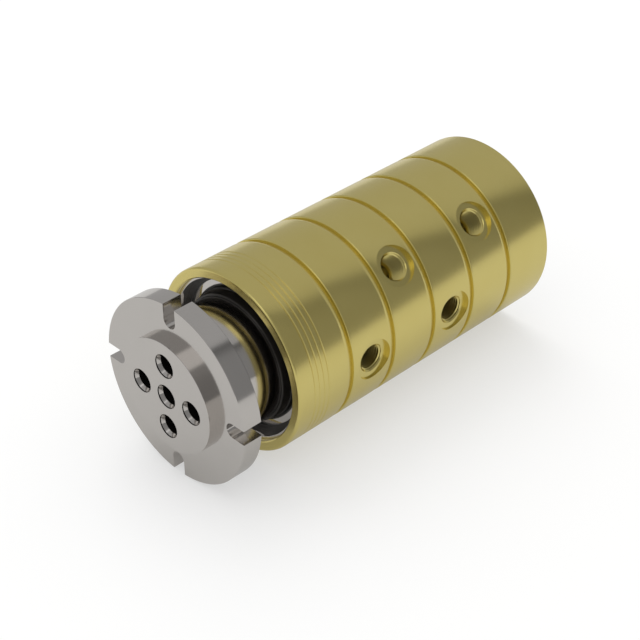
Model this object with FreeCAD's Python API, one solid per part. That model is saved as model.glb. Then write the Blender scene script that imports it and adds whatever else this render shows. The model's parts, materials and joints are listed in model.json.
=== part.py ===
import FreeCAD, Part
import math
import os

# Hydraulic rotary union with four side ports and one rear port.
# The axis is Y: the flange's mounting face lies at y = 0 and faces -Y, and the
# housing reaches back along +Y. Z is up. All sizes are in millimetres.

# Bearings, which set the diameters of the shaft and the housing: 50 x 80 x 16 in front
# and 45 x 68 x 12 at the rear. A section is the height from bore to outer diameter.
front_bearing_bore = 50.0
front_bearing_section = 15.0
front_bearing_width = 16.0
front_ball_diameter = 8.7
front_ball_count = 13
rear_bearing_section = 11.5
rear_bearing_width = 12.0
rear_ball_diameter = 6.35
rear_ball_count = 16
rear_bearing_wall = 2.9

# Flange, pilot boss and face ports of the shaft
flange_thickness = 10.0
flange_edge_chamfer = 0.4
flange_slot_width = 7.4
flange_slot_inset = 7.5
flange_slot_count = 4
pilot_diameter = 56.0
pilot_height = 4.5
pilot_root_radius = 2.0
face_port_circle = 32.5
face_port_seat_diameter = 11.6
face_port_seat_depth = 2.4
face_port_chamfer = 0.3
passage_diameter = 10.0
drill_point_angle = 118.0

# Neck, bearing seats and journal of the shaft
neck_step = 5.0
journal_relief = 0.3
rear_seat_step = 2.2
shaft_end_chamfer = 1.0
shaft_overrun = 1.8
cross_drill_diameter = 9.0

# Housing
housing_wall = 5.0
flange_gap = 22.0
housing_rear_land = 3.5
housing_front_round = 1.4
housing_rear_chamfer = 0.4
housing_bore_clearance = 0.3
mouth_chamfer = 0.5
dust_seal_setback = 3.0
segment_groove_pitch = 26.87
segment_groove_count = 5
first_groove_centre = 63.8
segment_groove_width = 2.6
fine_line_first = 41.55
fine_line_pitch = 2.86
fine_line_count = 4
fine_line_width = 0.7
fine_line_depth = 0.35

# Side ports: threaded holes in round spotfaces, in two rows 45 degrees apart
# and a little behind the middle between two outer grooves
side_port_angles = (0.0, 45.0, 0.0, 45.0)
side_port_setback = 1.165
port_spotface_diameter = 20.0
port_spotface_depth = 2.0
port_thread_diameter = 11.445
port_thread_depth = 11.0
port_mouth_chamfer = 1.2
gallery_width = 10.0
gallery_depth = 4.0

# Passage seals: a PTFE ring pressed on the journal by an O-ring
seal_groove_width = 4.2
seal_groove_depth = 5.05
seal_ring_thickness = 2.0
running_clearance = 0.03
side_play = 0.1
o_ring_side_gap = 0.3
o_ring_side_flat = 0.4

# Dust seal in the housing's mouth
dust_seal_width = 8.0
dust_seal_case_wall = 1.2
dust_seal_case_round = 1.6
dust_seal_window_gap = 0.8
dust_seal_lip_recess = 0.3
dust_seal_lip_round = 0.3
dust_seal_lip_length = 4.6
dust_seal_lip_thickness = 2.4
dust_seal_lip_root = 3.0
dust_seal_spring_diameter = 1.6
dust_seal_heel_thickness = 1.6

# Retaining ring in front of the front bearing
front_ring_gap = 0.5
front_ring_thickness = 2.5
front_ring_height = 6.0
front_ring_groove_depth = 1.75

# Proportions shared by both bearings
race_conformity = 1.04
race_depth_share = 0.38
cage_thickness = 2.2
cage_side_wall = 1.0
cage_pocket_clearance = 0.12
bearing_edge_chamfer = 0.8
bearing_seal_thickness = 0.8
bearing_seal_inset = 0.6
bearing_seal_clearance = 0.1

# Retaining ring on the shaft's end
shaft_ring_thickness = 1.75
shaft_ring_height = 4.5
shaft_ring_groove_depth = 1.25
ring_gap_angle = 26.0
ring_ear_length = 3.5
ring_ear_hole = 2.5
ring_side_play = 0.1

# Rear cover with its hollow stem
cover_step_height = 3.5
cover_rim_width = 7.0
cover_spigot_length = 2.0
cover_seat_gap = 0.2
cover_fit_clearance = 0.03
cover_edge_chamfer = 0.8
cover_spigot_wall = 5.0
cover_end_gap = 1.0
cover_groove_width = 3.6
cover_groove_depth = 2.2
cover_groove_offset = 2.0
cover_ring_thickness = 2.5
cover_ring_height = 6.0
cover_ring_groove_depth = 1.5
rear_port_thread_depth = 12.0
stem_pocket_diameter = 26.0
stem_pocket_depth = 13.5
stem_clearance = 0.3
stem_end_gap = 1.0
stem_groove_width = 3.2
stem_groove_depth = 3.5
stem_groove_setback = 2.4
stem_ring_thickness = 1.4

# Shortest edge that an outline keeps, and how far a cutter reaches past a surface
shortest_edge = 1e-6
cutter_overrun = 1.0

# Diameters that follow from the sizes above
front_bearing_outer = front_bearing_bore + 2 * front_bearing_section
neck_diameter = front_bearing_bore + 2 * neck_step
journal_diameter = front_bearing_bore - 2 * journal_relief
rear_bearing_bore = journal_diameter - 2 * rear_seat_step
rear_bearing_outer = rear_bearing_bore + 2 * rear_bearing_section
housing_diameter = front_bearing_outer + 2 * housing_wall
flange_diameter = housing_diameter
flange_bolt_circle = flange_diameter - 2 * flange_slot_inset
dust_seal_window_diameter = neck_diameter + 2 * dust_seal_window_gap
cover_diameter = rear_bearing_outer + 2 * cover_step_height
cover_recess_diameter = rear_bearing_outer - 2 * cover_spigot_wall

# Places along the axis, worked out from the sizes above
pilot_face = -pilot_height
housing_front = flange_thickness + flange_gap
dust_seal_front = housing_front + dust_seal_setback
dust_seal_rear = dust_seal_front + dust_seal_width
front_ring_front = dust_seal_rear + front_ring_gap
front_bearing_front = front_ring_front + front_ring_thickness
front_bearing_rear = front_bearing_front + front_bearing_width
groove_centres = [first_groove_centre + i * segment_groove_pitch
                  for i in range(segment_groove_count)]
port_places = [(near + far) / 2 + side_port_setback
               for near, far in zip(groove_centres, groove_centres[1:])]
seal_pitch_end = port_places[-1] + gallery_width / 2
seal_wall = (port_places[0] - gallery_width / 2 - front_bearing_rear - seal_groove_width) / 2
seal_places = [port_places[0] - gallery_width / 2 - seal_wall - seal_groove_width / 2]
seal_places += [(near + far) / 2 for near, far in zip(port_places, port_places[1:])]
seal_places += [seal_pitch_end + rear_bearing_wall + seal_groove_width / 2]
rear_bearing_front = seal_places[-1] + seal_groove_width / 2 + rear_bearing_wall
rear_bearing_rear = rear_bearing_front + rear_bearing_width
shaft_ring_rear = rear_bearing_rear + shaft_ring_thickness
shaft_end = shaft_ring_rear + ring_side_play + shaft_overrun
cover_step = rear_bearing_rear + cover_spigot_length
cover_rear = cover_step + cover_rim_width
housing_rear = cover_rear + cover_ring_thickness + housing_rear_land
cover_recess_floor = shaft_end + cover_end_gap
stem_pocket_floor = shaft_end - stem_pocket_depth
stem_end = stem_pocket_floor + stem_end_gap
stem_groove_front = stem_end + stem_groove_setback

# Radii, worked out from the sizes above
journal_radius = journal_diameter / 2
housing_bore_radius = journal_radius + housing_bore_clearance
seal_groove_radius = housing_bore_radius + seal_groove_depth
seal_ring_inner = journal_radius + running_clearance
seal_ring_outer = seal_ring_inner + seal_ring_thickness
gallery_radius = housing_bore_radius + gallery_depth
mouth_radius = front_bearing_outer / 2
stem_radius = stem_pocket_diameter / 2 - stem_clearance
stem_ring_outer = stem_pocket_diameter / 2 - running_clearance
stem_ring_inner = stem_ring_outer - stem_ring_thickness

AXIS = FreeCAD.Vector(0, 1, 0)


def turned(corners):
    """Turns a closed outline of (radius, y) corners about the axis.

    A corner may carry a third value, the radius that rounds it.
    """
    points = [FreeCAD.Vector(radius, y, 0) for radius, y, *rounding in corners]
    joints = []
    for i, (radius, y, *rounding) in enumerate(corners):
        here = points[i]
        if not rounding:
            joints.append((here, here, here))
            continue
        before = points[i - 1] - here
        after = points[(i + 1) % len(points)] - here
        before.normalize()
        after.normalize()
        half_angle = before.getAngle(after) / 2
        reach = rounding[0] / math.tan(half_angle)
        inward = before + after
        inward.normalize()
        centre = here + inward * (rounding[0] / math.sin(half_angle))
        joints.append((here + before * reach, centre - inward * rounding[0], here + after * reach))
    edges = []
    for i, (start, middle, end) in enumerate(joints):
        if start.distanceToPoint(end) > shortest_edge:
            edges.append(Part.Arc(start, middle, end).toShape())
        following = joints[(i + 1) % len(joints)][0]
        if end.distanceToPoint(following) > shortest_edge:
            edges.append(Part.LineSegment(end, following).toShape())
    face = Part.Face(Part.Wire(edges))
    return face.revolve(FreeCAD.Vector(0, 0, 0), AXIS, 360)


def tube(inner, outer, front, rear):
    """A plain ring between two radii and two places on the axis."""
    return turned([(inner, front), (outer, front), (outer, rear), (inner, rear)])


def chamfered_tube(inner, outer, front, rear, chamfer):
    """A ring whose four edges are broken by one chamfer."""
    return turned([
        (inner, front + chamfer), (inner + chamfer, front),
        (outer - chamfer, front), (outer, front + chamfer),
        (outer, rear - chamfer), (outer - chamfer, rear),
        (inner + chamfer, rear), (inner, rear - chamfer),
    ])


def solid_of(shape):
    """The one solid of a cut or joined shape, with its seams cleaned away."""
    cleaned = shape.removeSplitter()
    return cleaned.Solids[0] if len(cleaned.Solids) == 1 else cleaned


def radial(angle):
    """The unit vector that points away from the axis at an angle from +X towards +Z."""
    turn = math.radians(angle)
    return FreeCAD.Vector(math.cos(turn), 0, math.sin(turn))


def point(radius, y, angle):
    """A point at a radius, a place on the axis and an angle."""
    return radial(angle) * radius + AXIS * y


def round_groove(radius, centre, width):
    """The ring that a round-nosed tool cuts into a cylinder."""
    section = Part.Wire(Part.Circle(FreeCAD.Vector(radius, centre, 0),
                                    FreeCAD.Vector(0, 0, 1), width / 2).toShape())
    return Part.Face(section).revolve(FreeCAD.Vector(0, 0, 0), AXIS, 360)


def vee_groove(radius, centre, width, depth):
    """The ring that a pointed tool cuts into a cylinder."""
    proud = depth
    half_top = width / 2 * (depth + proud) / depth
    return turned([(radius - depth, centre), (radius + proud, centre + half_top),
                   (radius + proud, centre - half_top)])


def drilled(diameter, start, direction, depth):
    """A drilled blind hole with the point of the drill at its end."""
    radius = diameter / 2
    tip = radius / math.tan(math.radians(drill_point_angle / 2))
    hole = Part.makeCylinder(radius, depth, start, direction)
    return hole.fuse(Part.makeCone(radius, 0, tip, start + direction * depth, direction))


def threaded_port(start, inward, depth):
    """A port's hole: a chamfered mouth and the bore of its thread."""
    radius = port_thread_diameter / 2
    mouth = Part.makeCone(radius + port_mouth_chamfer, radius, port_mouth_chamfer, start, inward)
    return Part.makeCylinder(radius, depth, start, inward).fuse(mouth)


def make_shaft():
    """Flange, pilot boss, neck, bearing seats and journal, turned in one piece."""
    flange_radius = flange_diameter / 2
    front_seat = front_bearing_bore / 2
    rear_seat = rear_bearing_bore / 2
    ring_groove = rear_seat - shaft_ring_groove_depth
    body = turned([
        (0, pilot_face), (pilot_diameter / 2, pilot_face),
        (pilot_diameter / 2, 0, pilot_root_radius),
        (flange_radius - flange_edge_chamfer, 0), (flange_radius, flange_edge_chamfer),
        (flange_radius, flange_thickness - flange_edge_chamfer),
        (flange_radius - flange_edge_chamfer, flange_thickness),
        (neck_diameter / 2, flange_thickness), (neck_diameter / 2, front_bearing_front),
        (front_seat, front_bearing_front), (front_seat, front_bearing_rear),
        (journal_radius, front_bearing_rear), (journal_radius, rear_bearing_front),
        (rear_seat, rear_bearing_front), (rear_seat, rear_bearing_rear),
        (ring_groove, rear_bearing_rear), (ring_groove, shaft_ring_rear + ring_side_play),
        (rear_seat, shaft_ring_rear + ring_side_play), (rear_seat, shaft_end - shaft_end_chamfer),
        (rear_seat - shaft_end_chamfer, shaft_end), (0, shaft_end),
    ])
    pocket_radius = stem_pocket_diameter / 2
    cuts = [Part.makeCylinder(pocket_radius, stem_pocket_depth,
                              FreeCAD.Vector(0, stem_pocket_floor, 0), AXIS)]
    cuts.append(face_port(FreeCAD.Vector(0, pilot_face, 0)))
    cuts.append(Part.makeCylinder(passage_diameter / 2, stem_pocket_floor - pilot_face,
                                  FreeCAD.Vector(0, pilot_face, 0), AXIS))
    for number, place in enumerate(port_places):
        angle = 360.0 / len(port_places) * number
        mouth = point(face_port_circle / 2, pilot_face, angle)
        cuts.append(face_port(mouth))
        cuts.append(drilled(passage_diameter, mouth, AXIS, place - pilot_face))
        cuts.append(Part.makeCylinder(cross_drill_diameter / 2, journal_radius - face_port_circle / 2,
                                      point(face_port_circle / 2, place, angle), radial(angle)))
    for number in range(flange_slot_count):
        cuts.append(flange_slot(360.0 / flange_slot_count * number))
    return solid_of(body.cut(cuts))


def face_port(mouth):
    """The seal seat at a face port's mouth, with its broken edge."""
    radius = face_port_seat_diameter / 2
    seat = Part.makeCylinder(radius, face_port_seat_depth, mouth, AXIS)
    edge = Part.makeCone(radius + face_port_chamfer, radius, face_port_chamfer, mouth, AXIS)
    return seat.fuse(edge)


def flange_slot(angle):
    """An open bolt slot with a round end, cut in from the flange's rim."""
    radius = flange_slot_width / 2
    centre = flange_bolt_circle / 2
    end = Part.makeCylinder(radius, flange_thickness, FreeCAD.Vector(centre, 0, 0), AXIS)
    way_out = Part.makeBox(flange_diameter / 2, flange_thickness, flange_slot_width,
                           FreeCAD.Vector(centre, 0, -radius))
    slot = end.fuse(way_out)
    slot.rotate(FreeCAD.Vector(0, 0, 0), AXIS, -angle)
    return slot


def make_housing():
    """The outer tube with its seats, galleries, seal grooves, outer grooves and ports."""
    outer = housing_diameter / 2
    ring_groove = mouth_radius + front_ring_groove_depth
    cover_radius = cover_diameter / 2
    cover_groove = cover_radius + cover_ring_groove_depth
    rear_seat = rear_bearing_outer / 2
    step = cover_step - cover_seat_gap
    inside = [(mouth_radius + mouth_chamfer, housing_front),
              (mouth_radius, housing_front + mouth_chamfer),
              (mouth_radius, front_ring_front), (ring_groove, front_ring_front),
              (ring_groove, front_bearing_front), (mouth_radius, front_bearing_front),
              (mouth_radius, front_bearing_rear), (housing_bore_radius, front_bearing_rear)]
    recesses = [(place, seal_groove_width, seal_groove_radius) for place in seal_places]
    recesses += [(place, gallery_width, gallery_radius) for place in port_places]
    for place, width, radius in sorted(recesses):
        inside += [(housing_bore_radius, place - width / 2), (radius, place - width / 2),
                   (radius, place + width / 2), (housing_bore_radius, place + width / 2)]
    inside += [(housing_bore_radius, rear_bearing_front), (rear_seat, rear_bearing_front),
               (rear_seat, step), (cover_radius, step), (cover_radius, cover_rear),
               (cover_groove, cover_rear), (cover_groove, cover_rear + cover_ring_thickness),
               (cover_radius, cover_rear + cover_ring_thickness),
               (cover_radius, housing_rear - mouth_chamfer),
               (cover_radius + mouth_chamfer, housing_rear)]
    body = turned(inside + [
        (outer - housing_rear_chamfer, housing_rear), (outer, housing_rear - housing_rear_chamfer),
        (outer, housing_front, housing_front_round),
    ])
    cuts = [round_groove(outer, place, segment_groove_width) for place in groove_centres]
    for number in range(fine_line_count):
        cuts.append(vee_groove(outer, fine_line_first + number * fine_line_pitch,
                               fine_line_width, fine_line_depth))
    for place, angle in zip(port_places, side_port_angles):
        cuts.append(side_port(place, angle))
    return solid_of(body.cut(cuts))


def side_port(place, angle):
    """A side port: flat round spotface, threaded hole and the drilling to its gallery."""
    floor = housing_diameter / 2 - port_spotface_depth
    start = point(floor, place, angle)
    inward = radial(angle) * -1
    spotface = Part.makeCylinder(port_spotface_diameter / 2, port_spotface_depth + cutter_overrun,
                                 start, inward * -1)
    drilling = Part.makeCylinder(cross_drill_diameter / 2, floor - housing_bore_radius, start, inward)
    return spotface.fuse([threaded_port(start, inward, port_thread_depth), drilling])


def make_dust_seal_case():
    """The seal's pressed steel case: an outer sleeve, and a flat front wall that reaches to the lip."""
    window = dust_seal_window_diameter / 2
    inner = mouth_radius - dust_seal_case_wall
    return turned([
        (window, dust_seal_front), (mouth_radius, dust_seal_front, dust_seal_case_round),
        (mouth_radius, dust_seal_rear), (inner, dust_seal_rear),
        (inner, dust_seal_front + dust_seal_case_wall), (window, dust_seal_front + dust_seal_case_wall),
    ])


def make_dust_seal_lip():
    """The seal's rubber: a lip on the neck, and a heel bonded behind the case's front wall."""
    window = dust_seal_window_diameter / 2
    neck = neck_diameter / 2 + running_clearance
    heel_outer = mouth_radius - dust_seal_case_wall
    heel_front = dust_seal_front + dust_seal_case_wall
    heel_rear = heel_front + dust_seal_heel_thickness
    lip_front = dust_seal_front + dust_seal_lip_recess
    lip_rear = dust_seal_front + dust_seal_lip_length
    return turned([
        (window, heel_front), (window, lip_front), (neck, lip_front, dust_seal_lip_round),
        (neck, lip_rear), (neck + dust_seal_lip_thickness, lip_rear),
        (neck + dust_seal_lip_root, heel_rear), (heel_outer, heel_rear), (heel_outer, heel_front),
    ])


def make_dust_seal_spring():
    """The garter spring that lies behind the lip, as a closed ring."""
    radius = dust_seal_spring_diameter / 2
    centre = neck_diameter / 2 + running_clearance + radius * 2
    return Part.makeTorus(centre, radius,
                          FreeCAD.Vector(0, dust_seal_front + dust_seal_lip_length + radius, 0), AXIS)


class Bearing:
    """Sizes of a sealed ball bearing, from its bore, outer diameter, width and balls."""

    def __init__(self, bore, outer, width, front, ball, count):
        self.bore_radius = bore / 2
        self.outer_radius = outer / 2
        self.front = front
        self.rear = front + width
        self.middle = front + width / 2
        self.ball_radius = ball / 2
        self.count = count
        self.pitch_radius = (self.bore_radius + self.outer_radius) / 2
        self.shoulder = self.ball_radius * (1 - 2 * race_depth_share)
        self.inner_shoulder = self.pitch_radius - self.shoulder - self.ball_radius * race_depth_share / 2
        self.outer_shoulder = self.pitch_radius + self.shoulder + self.ball_radius * race_depth_share / 2

    def race(self):
        """The ring of round section that both raceways are ground from."""
        radius = self.ball_radius * race_conformity
        shift = radius - self.ball_radius - running_clearance
        return radius, shift

    def raceway(self, sign):
        """The raceway's cutter, moved so that it clears the balls by the running clearance."""
        radius, shift = self.race()
        return Part.makeTorus(self.pitch_radius - sign * shift, radius,
                              FreeCAD.Vector(0, self.middle, 0), AXIS)

    def outer_ring(self):
        """The outer ring with its raceway."""
        blank = chamfered_tube(self.outer_shoulder, self.outer_radius, self.front, self.rear,
                               bearing_edge_chamfer)
        return solid_of(blank.cut(self.raceway(1)))

    def inner_ring(self):
        """The inner ring with its raceway."""
        blank = chamfered_tube(self.bore_radius, self.inner_shoulder, self.front, self.rear,
                               bearing_edge_chamfer)
        return solid_of(blank.cut(self.raceway(-1)))

    def ball_places(self):
        """The centres of the balls, evenly spaced."""
        return [point(self.pitch_radius, self.middle, 360.0 / self.count * i) for i in range(self.count)]

    def balls(self):
        """The balls, as separate solids."""
        return Part.makeCompound([Part.makeSphere(self.ball_radius, place)
                                  for place in self.ball_places()])

    def cage(self):
        """The cage: a band round the balls' middle circle with a drilled pocket for each ball."""
        half_width = self.ball_radius + cage_side_wall
        band = tube(self.pitch_radius - cage_thickness / 2, self.pitch_radius + cage_thickness / 2,
                    self.middle - half_width, self.middle + half_width)
        pocket = self.ball_radius + cage_pocket_clearance
        pockets = [Part.makeCylinder(pocket, self.outer_radius, FreeCAD.Vector(0, self.middle, 0),
                                     radial(360.0 / self.count * i)) for i in range(self.count)]
        return solid_of(band.cut(pockets))

    def seals(self):
        """The two rubber shields, one at each side, held in the outer ring."""
        inner = self.inner_shoulder + bearing_seal_clearance
        outer = self.outer_shoulder
        front = self.front + bearing_seal_inset
        rear = self.rear - bearing_seal_inset - bearing_seal_thickness
        return Part.makeCompound([tube(inner, outer, place, place + bearing_seal_thickness)
                                  for place in (front, rear)])


def retaining_ring(seat, groove_depth, height, front, thickness, sign):
    """A sprung retaining ring with two ears. It lies in a bore if sign is 1, on a shaft if it is -1."""
    rim = seat + sign * groove_depth
    free = rim - sign * height
    ring = tube(min(rim, free), max(rim, free), front, front + thickness)
    half_gap = math.radians(ring_gap_angle / 2)
    reach = (max(rim, free) + cutter_overrun) / math.cos(half_gap)
    wedge = Part.makePolygon([
        FreeCAD.Vector(0, front, 0),
        FreeCAD.Vector(reach * math.sin(-half_gap), front, reach * math.cos(half_gap)),
        FreeCAD.Vector(reach * math.sin(half_gap), front, reach * math.cos(half_gap)),
        FreeCAD.Vector(0, front, 0),
    ])
    gap = Part.Face(wedge).extrude(AXIS * thickness)
    ears = []
    holes = []
    ear_angle = ring_gap_angle / 2 + math.degrees(ring_ear_length / seat)
    for side in (-1, 1):
        middle = point((rim + free) / 2 - sign * ring_ear_hole / 2, front, 90 + side * ear_angle)
        ears.append(Part.makeCylinder(ring_ear_length, thickness, middle, AXIS))
        holes.append(Part.makeCylinder(ring_ear_hole / 2, thickness, middle, AXIS))
    return solid_of(ring.cut(gap).fuse(ears).cut(holes))


def squeezed_ring(inner, outer, front, rear):
    """An O-ring pressed flat inside and outside, with round sides."""
    round_side = (outer - inner - o_ring_side_flat) / 2
    return turned([(inner, front, round_side), (outer, front, round_side),
                   (outer, rear, round_side), (inner, rear, round_side)])


def make_passage_seal(place):
    """A PTFE ring that runs on the journal, with its edges broken."""
    half = seal_groove_width / 2 - side_play
    return tube(seal_ring_inner, seal_ring_outer, place - half, place + half)


def make_passage_o_ring(place):
    """The O-ring that presses a PTFE ring on the journal."""
    half = seal_groove_width / 2 - o_ring_side_gap
    return squeezed_ring(seal_ring_outer, seal_groove_radius, place - half, place + half)


def make_rear_cover():
    """The end cover: rim, spigot on the bearing, hollow stem and the rear port."""
    rim = cover_diameter / 2 - cover_fit_clearance
    spigot = rear_bearing_outer / 2 - cover_fit_clearance
    recess = cover_recess_diameter / 2
    groove_front = cover_step + cover_groove_offset
    groove_floor = rim - cover_groove_depth
    stem_floor = stem_radius - stem_groove_depth
    bore = passage_diameter / 2
    body = turned([
        (bore, stem_end), (stem_radius, stem_end), (stem_radius, stem_groove_front),
        (stem_floor, stem_groove_front), (stem_floor, stem_groove_front + stem_groove_width),
        (stem_radius, stem_groove_front + stem_groove_width), (stem_radius, cover_recess_floor),
        (recess, cover_recess_floor), (recess, rear_bearing_rear), (spigot, rear_bearing_rear),
        (spigot, cover_step), (rim, cover_step), (rim, groove_front), (groove_floor, groove_front),
        (groove_floor, groove_front + cover_groove_width), (rim, groove_front + cover_groove_width),
        (rim, cover_rear - cover_edge_chamfer), (rim - cover_edge_chamfer, cover_rear),
        (bore, cover_rear),
    ])
    port = threaded_port(FreeCAD.Vector(0, cover_rear, 0), AXIS * -1, rear_port_thread_depth)
    return solid_of(body.cut(port))


def make_rear_cover_o_ring():
    """The static O-ring in the cover's rim."""
    rim = cover_diameter / 2 - cover_fit_clearance
    front = cover_step + cover_groove_offset
    return squeezed_ring(rim - cover_groove_depth, cover_diameter / 2, front + o_ring_side_gap,
                         front + cover_groove_width - o_ring_side_gap)


def make_stem_seal_ring():
    """The PTFE ring on the stem, which runs in the shaft's pocket."""
    return tube(stem_ring_inner, stem_ring_outer, stem_groove_front + side_play,
                stem_groove_front + stem_groove_width - side_play)


def make_stem_o_ring():
    """The O-ring under the stem's PTFE ring."""
    return squeezed_ring(stem_radius - stem_groove_depth, stem_ring_inner,
                         stem_groove_front + o_ring_side_gap,
                         stem_groove_front + stem_groove_width - o_ring_side_gap)


def make_bearing_nodes(name, bearing):
    """The five nodes of one bearing."""
    return {
        name + "_outer_ring": bearing.outer_ring(),
        name + "_inner_ring": bearing.inner_ring(),
        name + "_balls": bearing.balls(),
        name + "_cage": bearing.cage(),
        name + "_seals": bearing.seals(),
    }


def make_nodes():
    """Every sub-part by its node name."""
    front_bearing = Bearing(front_bearing_bore, front_bearing_outer, front_bearing_width,
                            front_bearing_front, front_ball_diameter, front_ball_count)
    rear_bearing = Bearing(rear_bearing_bore, rear_bearing_outer, rear_bearing_width,
                           rear_bearing_front, rear_ball_diameter, rear_ball_count)
    nodes = {
        "shaft": make_shaft(),
        "housing": make_housing(),
        "dust_seal_case": make_dust_seal_case(),
        "dust_seal_lip": make_dust_seal_lip(),
        "dust_seal_spring": make_dust_seal_spring(),
        "front_retaining_ring": retaining_ring(mouth_radius, front_ring_groove_depth, front_ring_height,
                                               front_ring_front, front_ring_thickness, 1),
        "shaft_retaining_ring": retaining_ring(rear_bearing_bore / 2, shaft_ring_groove_depth,
                                               shaft_ring_height, rear_bearing_rear,
                                               shaft_ring_thickness, -1),
        "cover_retaining_ring": retaining_ring(cover_diameter / 2, cover_ring_groove_depth,
                                               cover_ring_height, cover_rear,
                                               cover_ring_thickness, 1),
        "rear_cover": make_rear_cover(),
        "rear_cover_o_ring": make_rear_cover_o_ring(),
        "stem_seal_ring": make_stem_seal_ring(),
        "stem_o_ring": make_stem_o_ring(),
    }
    nodes.update(make_bearing_nodes("front_bearing", front_bearing))
    nodes.update(make_bearing_nodes("rear_bearing", rear_bearing))
    for number, place in enumerate(seal_places, start=1):
        nodes["passage_seal_%d" % number] = make_passage_seal(place)
        nodes["passage_o_ring_%d" % number] = make_passage_o_ring(place)
    return nodes


os.makedirs("parts", exist_ok=True)
for name, shape in make_nodes().items():
    shape.exportStep("parts/%s.step" % name)
    print(name, "solids", len(shape.Solids), "volume", round(shape.Volume, 1))
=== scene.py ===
import json
import logging
import math
from dataclasses import dataclass
from enum import Enum
from typing import Callable

import bmesh
import bpy
from mathutils import Matrix, Vector


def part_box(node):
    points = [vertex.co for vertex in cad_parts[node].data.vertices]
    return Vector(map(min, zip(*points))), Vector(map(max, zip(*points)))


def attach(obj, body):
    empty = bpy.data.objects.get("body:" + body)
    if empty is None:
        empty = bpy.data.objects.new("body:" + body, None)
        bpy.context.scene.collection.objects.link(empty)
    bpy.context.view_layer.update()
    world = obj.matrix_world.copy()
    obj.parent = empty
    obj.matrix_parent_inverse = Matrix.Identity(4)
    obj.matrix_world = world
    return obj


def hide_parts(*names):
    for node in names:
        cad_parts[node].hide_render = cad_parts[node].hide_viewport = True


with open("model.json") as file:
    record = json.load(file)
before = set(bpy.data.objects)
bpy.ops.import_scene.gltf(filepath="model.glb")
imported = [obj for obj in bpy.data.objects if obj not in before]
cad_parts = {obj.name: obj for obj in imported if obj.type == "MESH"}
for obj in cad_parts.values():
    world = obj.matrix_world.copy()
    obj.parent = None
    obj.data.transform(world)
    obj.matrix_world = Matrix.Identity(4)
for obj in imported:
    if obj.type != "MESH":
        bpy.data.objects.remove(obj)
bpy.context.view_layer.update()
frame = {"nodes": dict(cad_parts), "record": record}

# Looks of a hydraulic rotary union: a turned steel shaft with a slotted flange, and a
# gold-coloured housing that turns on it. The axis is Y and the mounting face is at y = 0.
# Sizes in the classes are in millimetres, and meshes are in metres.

# One millimetre in metres
MM = 0.001
# Flats round a turned piece, and steps in the arc of a rounded corner
TURN_STEPS = 288
ARC_STEPS = 8
# Vertices nearer than this, in metres, are one
MERGE_DISTANCE = 1e-6
# Faces that meet at a smaller angle are shaded as one surface
SMOOTH_ANGLE = math.radians(15)
# How far a tool reaches past the surface that it cuts, in millimetres
OVERSHOOT = 1.0
# Octaves of the noise in lathe marks and in patches
MARK_DETAIL = 2.0
PATCH_DETAIL = 3.0
AXIS = Vector((0.0, 1.0, 0.0))
SIDE_PORTS = range(1, 5)
PASSAGE_SEALS = range(1, 6)

Piece = bpy.types.Object
Tree = bpy.types.NodeTree
Socket = bpy.types.NodeSocket
Triple = tuple[float, float, float]

log = logging.getLogger("rotary_union")


class Body(Enum):
    """The bodies that pieces ride on."""

    SHAFT = "shaft"
    HOUSING = "housing"


class Cut(Enum):
    """What a tool does to a piece."""

    AWAY = "DIFFERENCE"
    ONTO = "UNION"


@dataclass(frozen=True)
class Corner:
    """A corner of a turned outline: its radius, its place on the axis, and the arc that rounds it."""

    radius: float
    y: float
    rounding: float = 0.0

    def point(self) -> Vector:
        """The corner's place in the plane of the outline."""
        return Vector((self.radius, self.y, 0.0))


def linear(code: str) -> tuple[float, float, float, float]:
    """Turns a hex sRGB colour into the linear colour that shaders take.

    Args:
        code: six hex digits after a hash sign.

    Returns:
        Linear red, green, blue and an alpha of 1.
    """
    channels = [int(code[i:i + 2], 16) / 255.0 for i in (1, 3, 5)]
    values = [c / 12.92 if c <= 0.04045 else ((c + 0.055) / 1.055) ** 2.4 for c in channels]
    return (values[0], values[1], values[2], 1.0)


def radial(angle: float) -> Vector:
    """The unit vector at an angle in degrees from +X towards +Z."""
    turn_angle = math.radians(angle)
    return Vector((math.cos(turn_angle), 0.0, math.sin(turn_angle)))


def box_mm(node: str) -> tuple[Vector, Vector]:
    """The lowest and highest corner of a CAD node, in millimetres."""
    low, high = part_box(node)
    return low / MM, high / MM


def inner_radius(node: str) -> float:
    """The inner radius of a ring-shaped CAD node, in millimetres."""
    points = frame["nodes"][node].data.vertices
    return min(math.hypot(point.co.x, point.co.z) for point in points) / MM


def side_port(number: int) -> tuple[Vector, float]:
    """Reads a side port from the record.

    Args:
        number: the port's number, from 1.

    Returns:
        Its outward direction, and its place on the axis in millimetres.
    """
    name = "side_port_%d" % number
    entry = next(entry for entry in frame["record"]["mounts"] if entry["name"] == name)
    return Vector(entry["axis"]), entry["pos_m"][1] / MM


def deselect_all() -> None:
    """Leaves nothing selected, in object mode."""
    if bpy.context.object and bpy.context.object.mode != "OBJECT":
        bpy.ops.object.mode_set(mode="OBJECT")
    bpy.ops.object.select_all(action="DESELECT")


def make_active(piece: Piece) -> None:
    """Selects one piece alone and makes it the active one.

    Args:
        piece: The piece.
    """
    deselect_all()
    piece.select_set(True)
    bpy.context.view_layer.objects.active = piece


def apply_transform() -> None:
    """Moves the place, turn and size of the selected pieces into their meshes."""
    bpy.ops.object.transform_apply(location=True, rotation=True, scale=True)


def select_vertices(piece: Piece, wanted: Callable[[bmesh.types.BMVert], bool]) -> None:
    """Selects the vertices that a test picks.

    Args:
        piece: the piece, in edit mode.
        wanted: the test.
    """
    bpy.ops.mesh.select_all(action="DESELECT")
    mesh = bmesh.from_edit_mesh(piece.data)
    for vertex in mesh.verts:
        vertex.select_set(wanted(vertex))
    mesh.select_flush_mode()
    bmesh.update_edit_mesh(piece.data)


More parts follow.
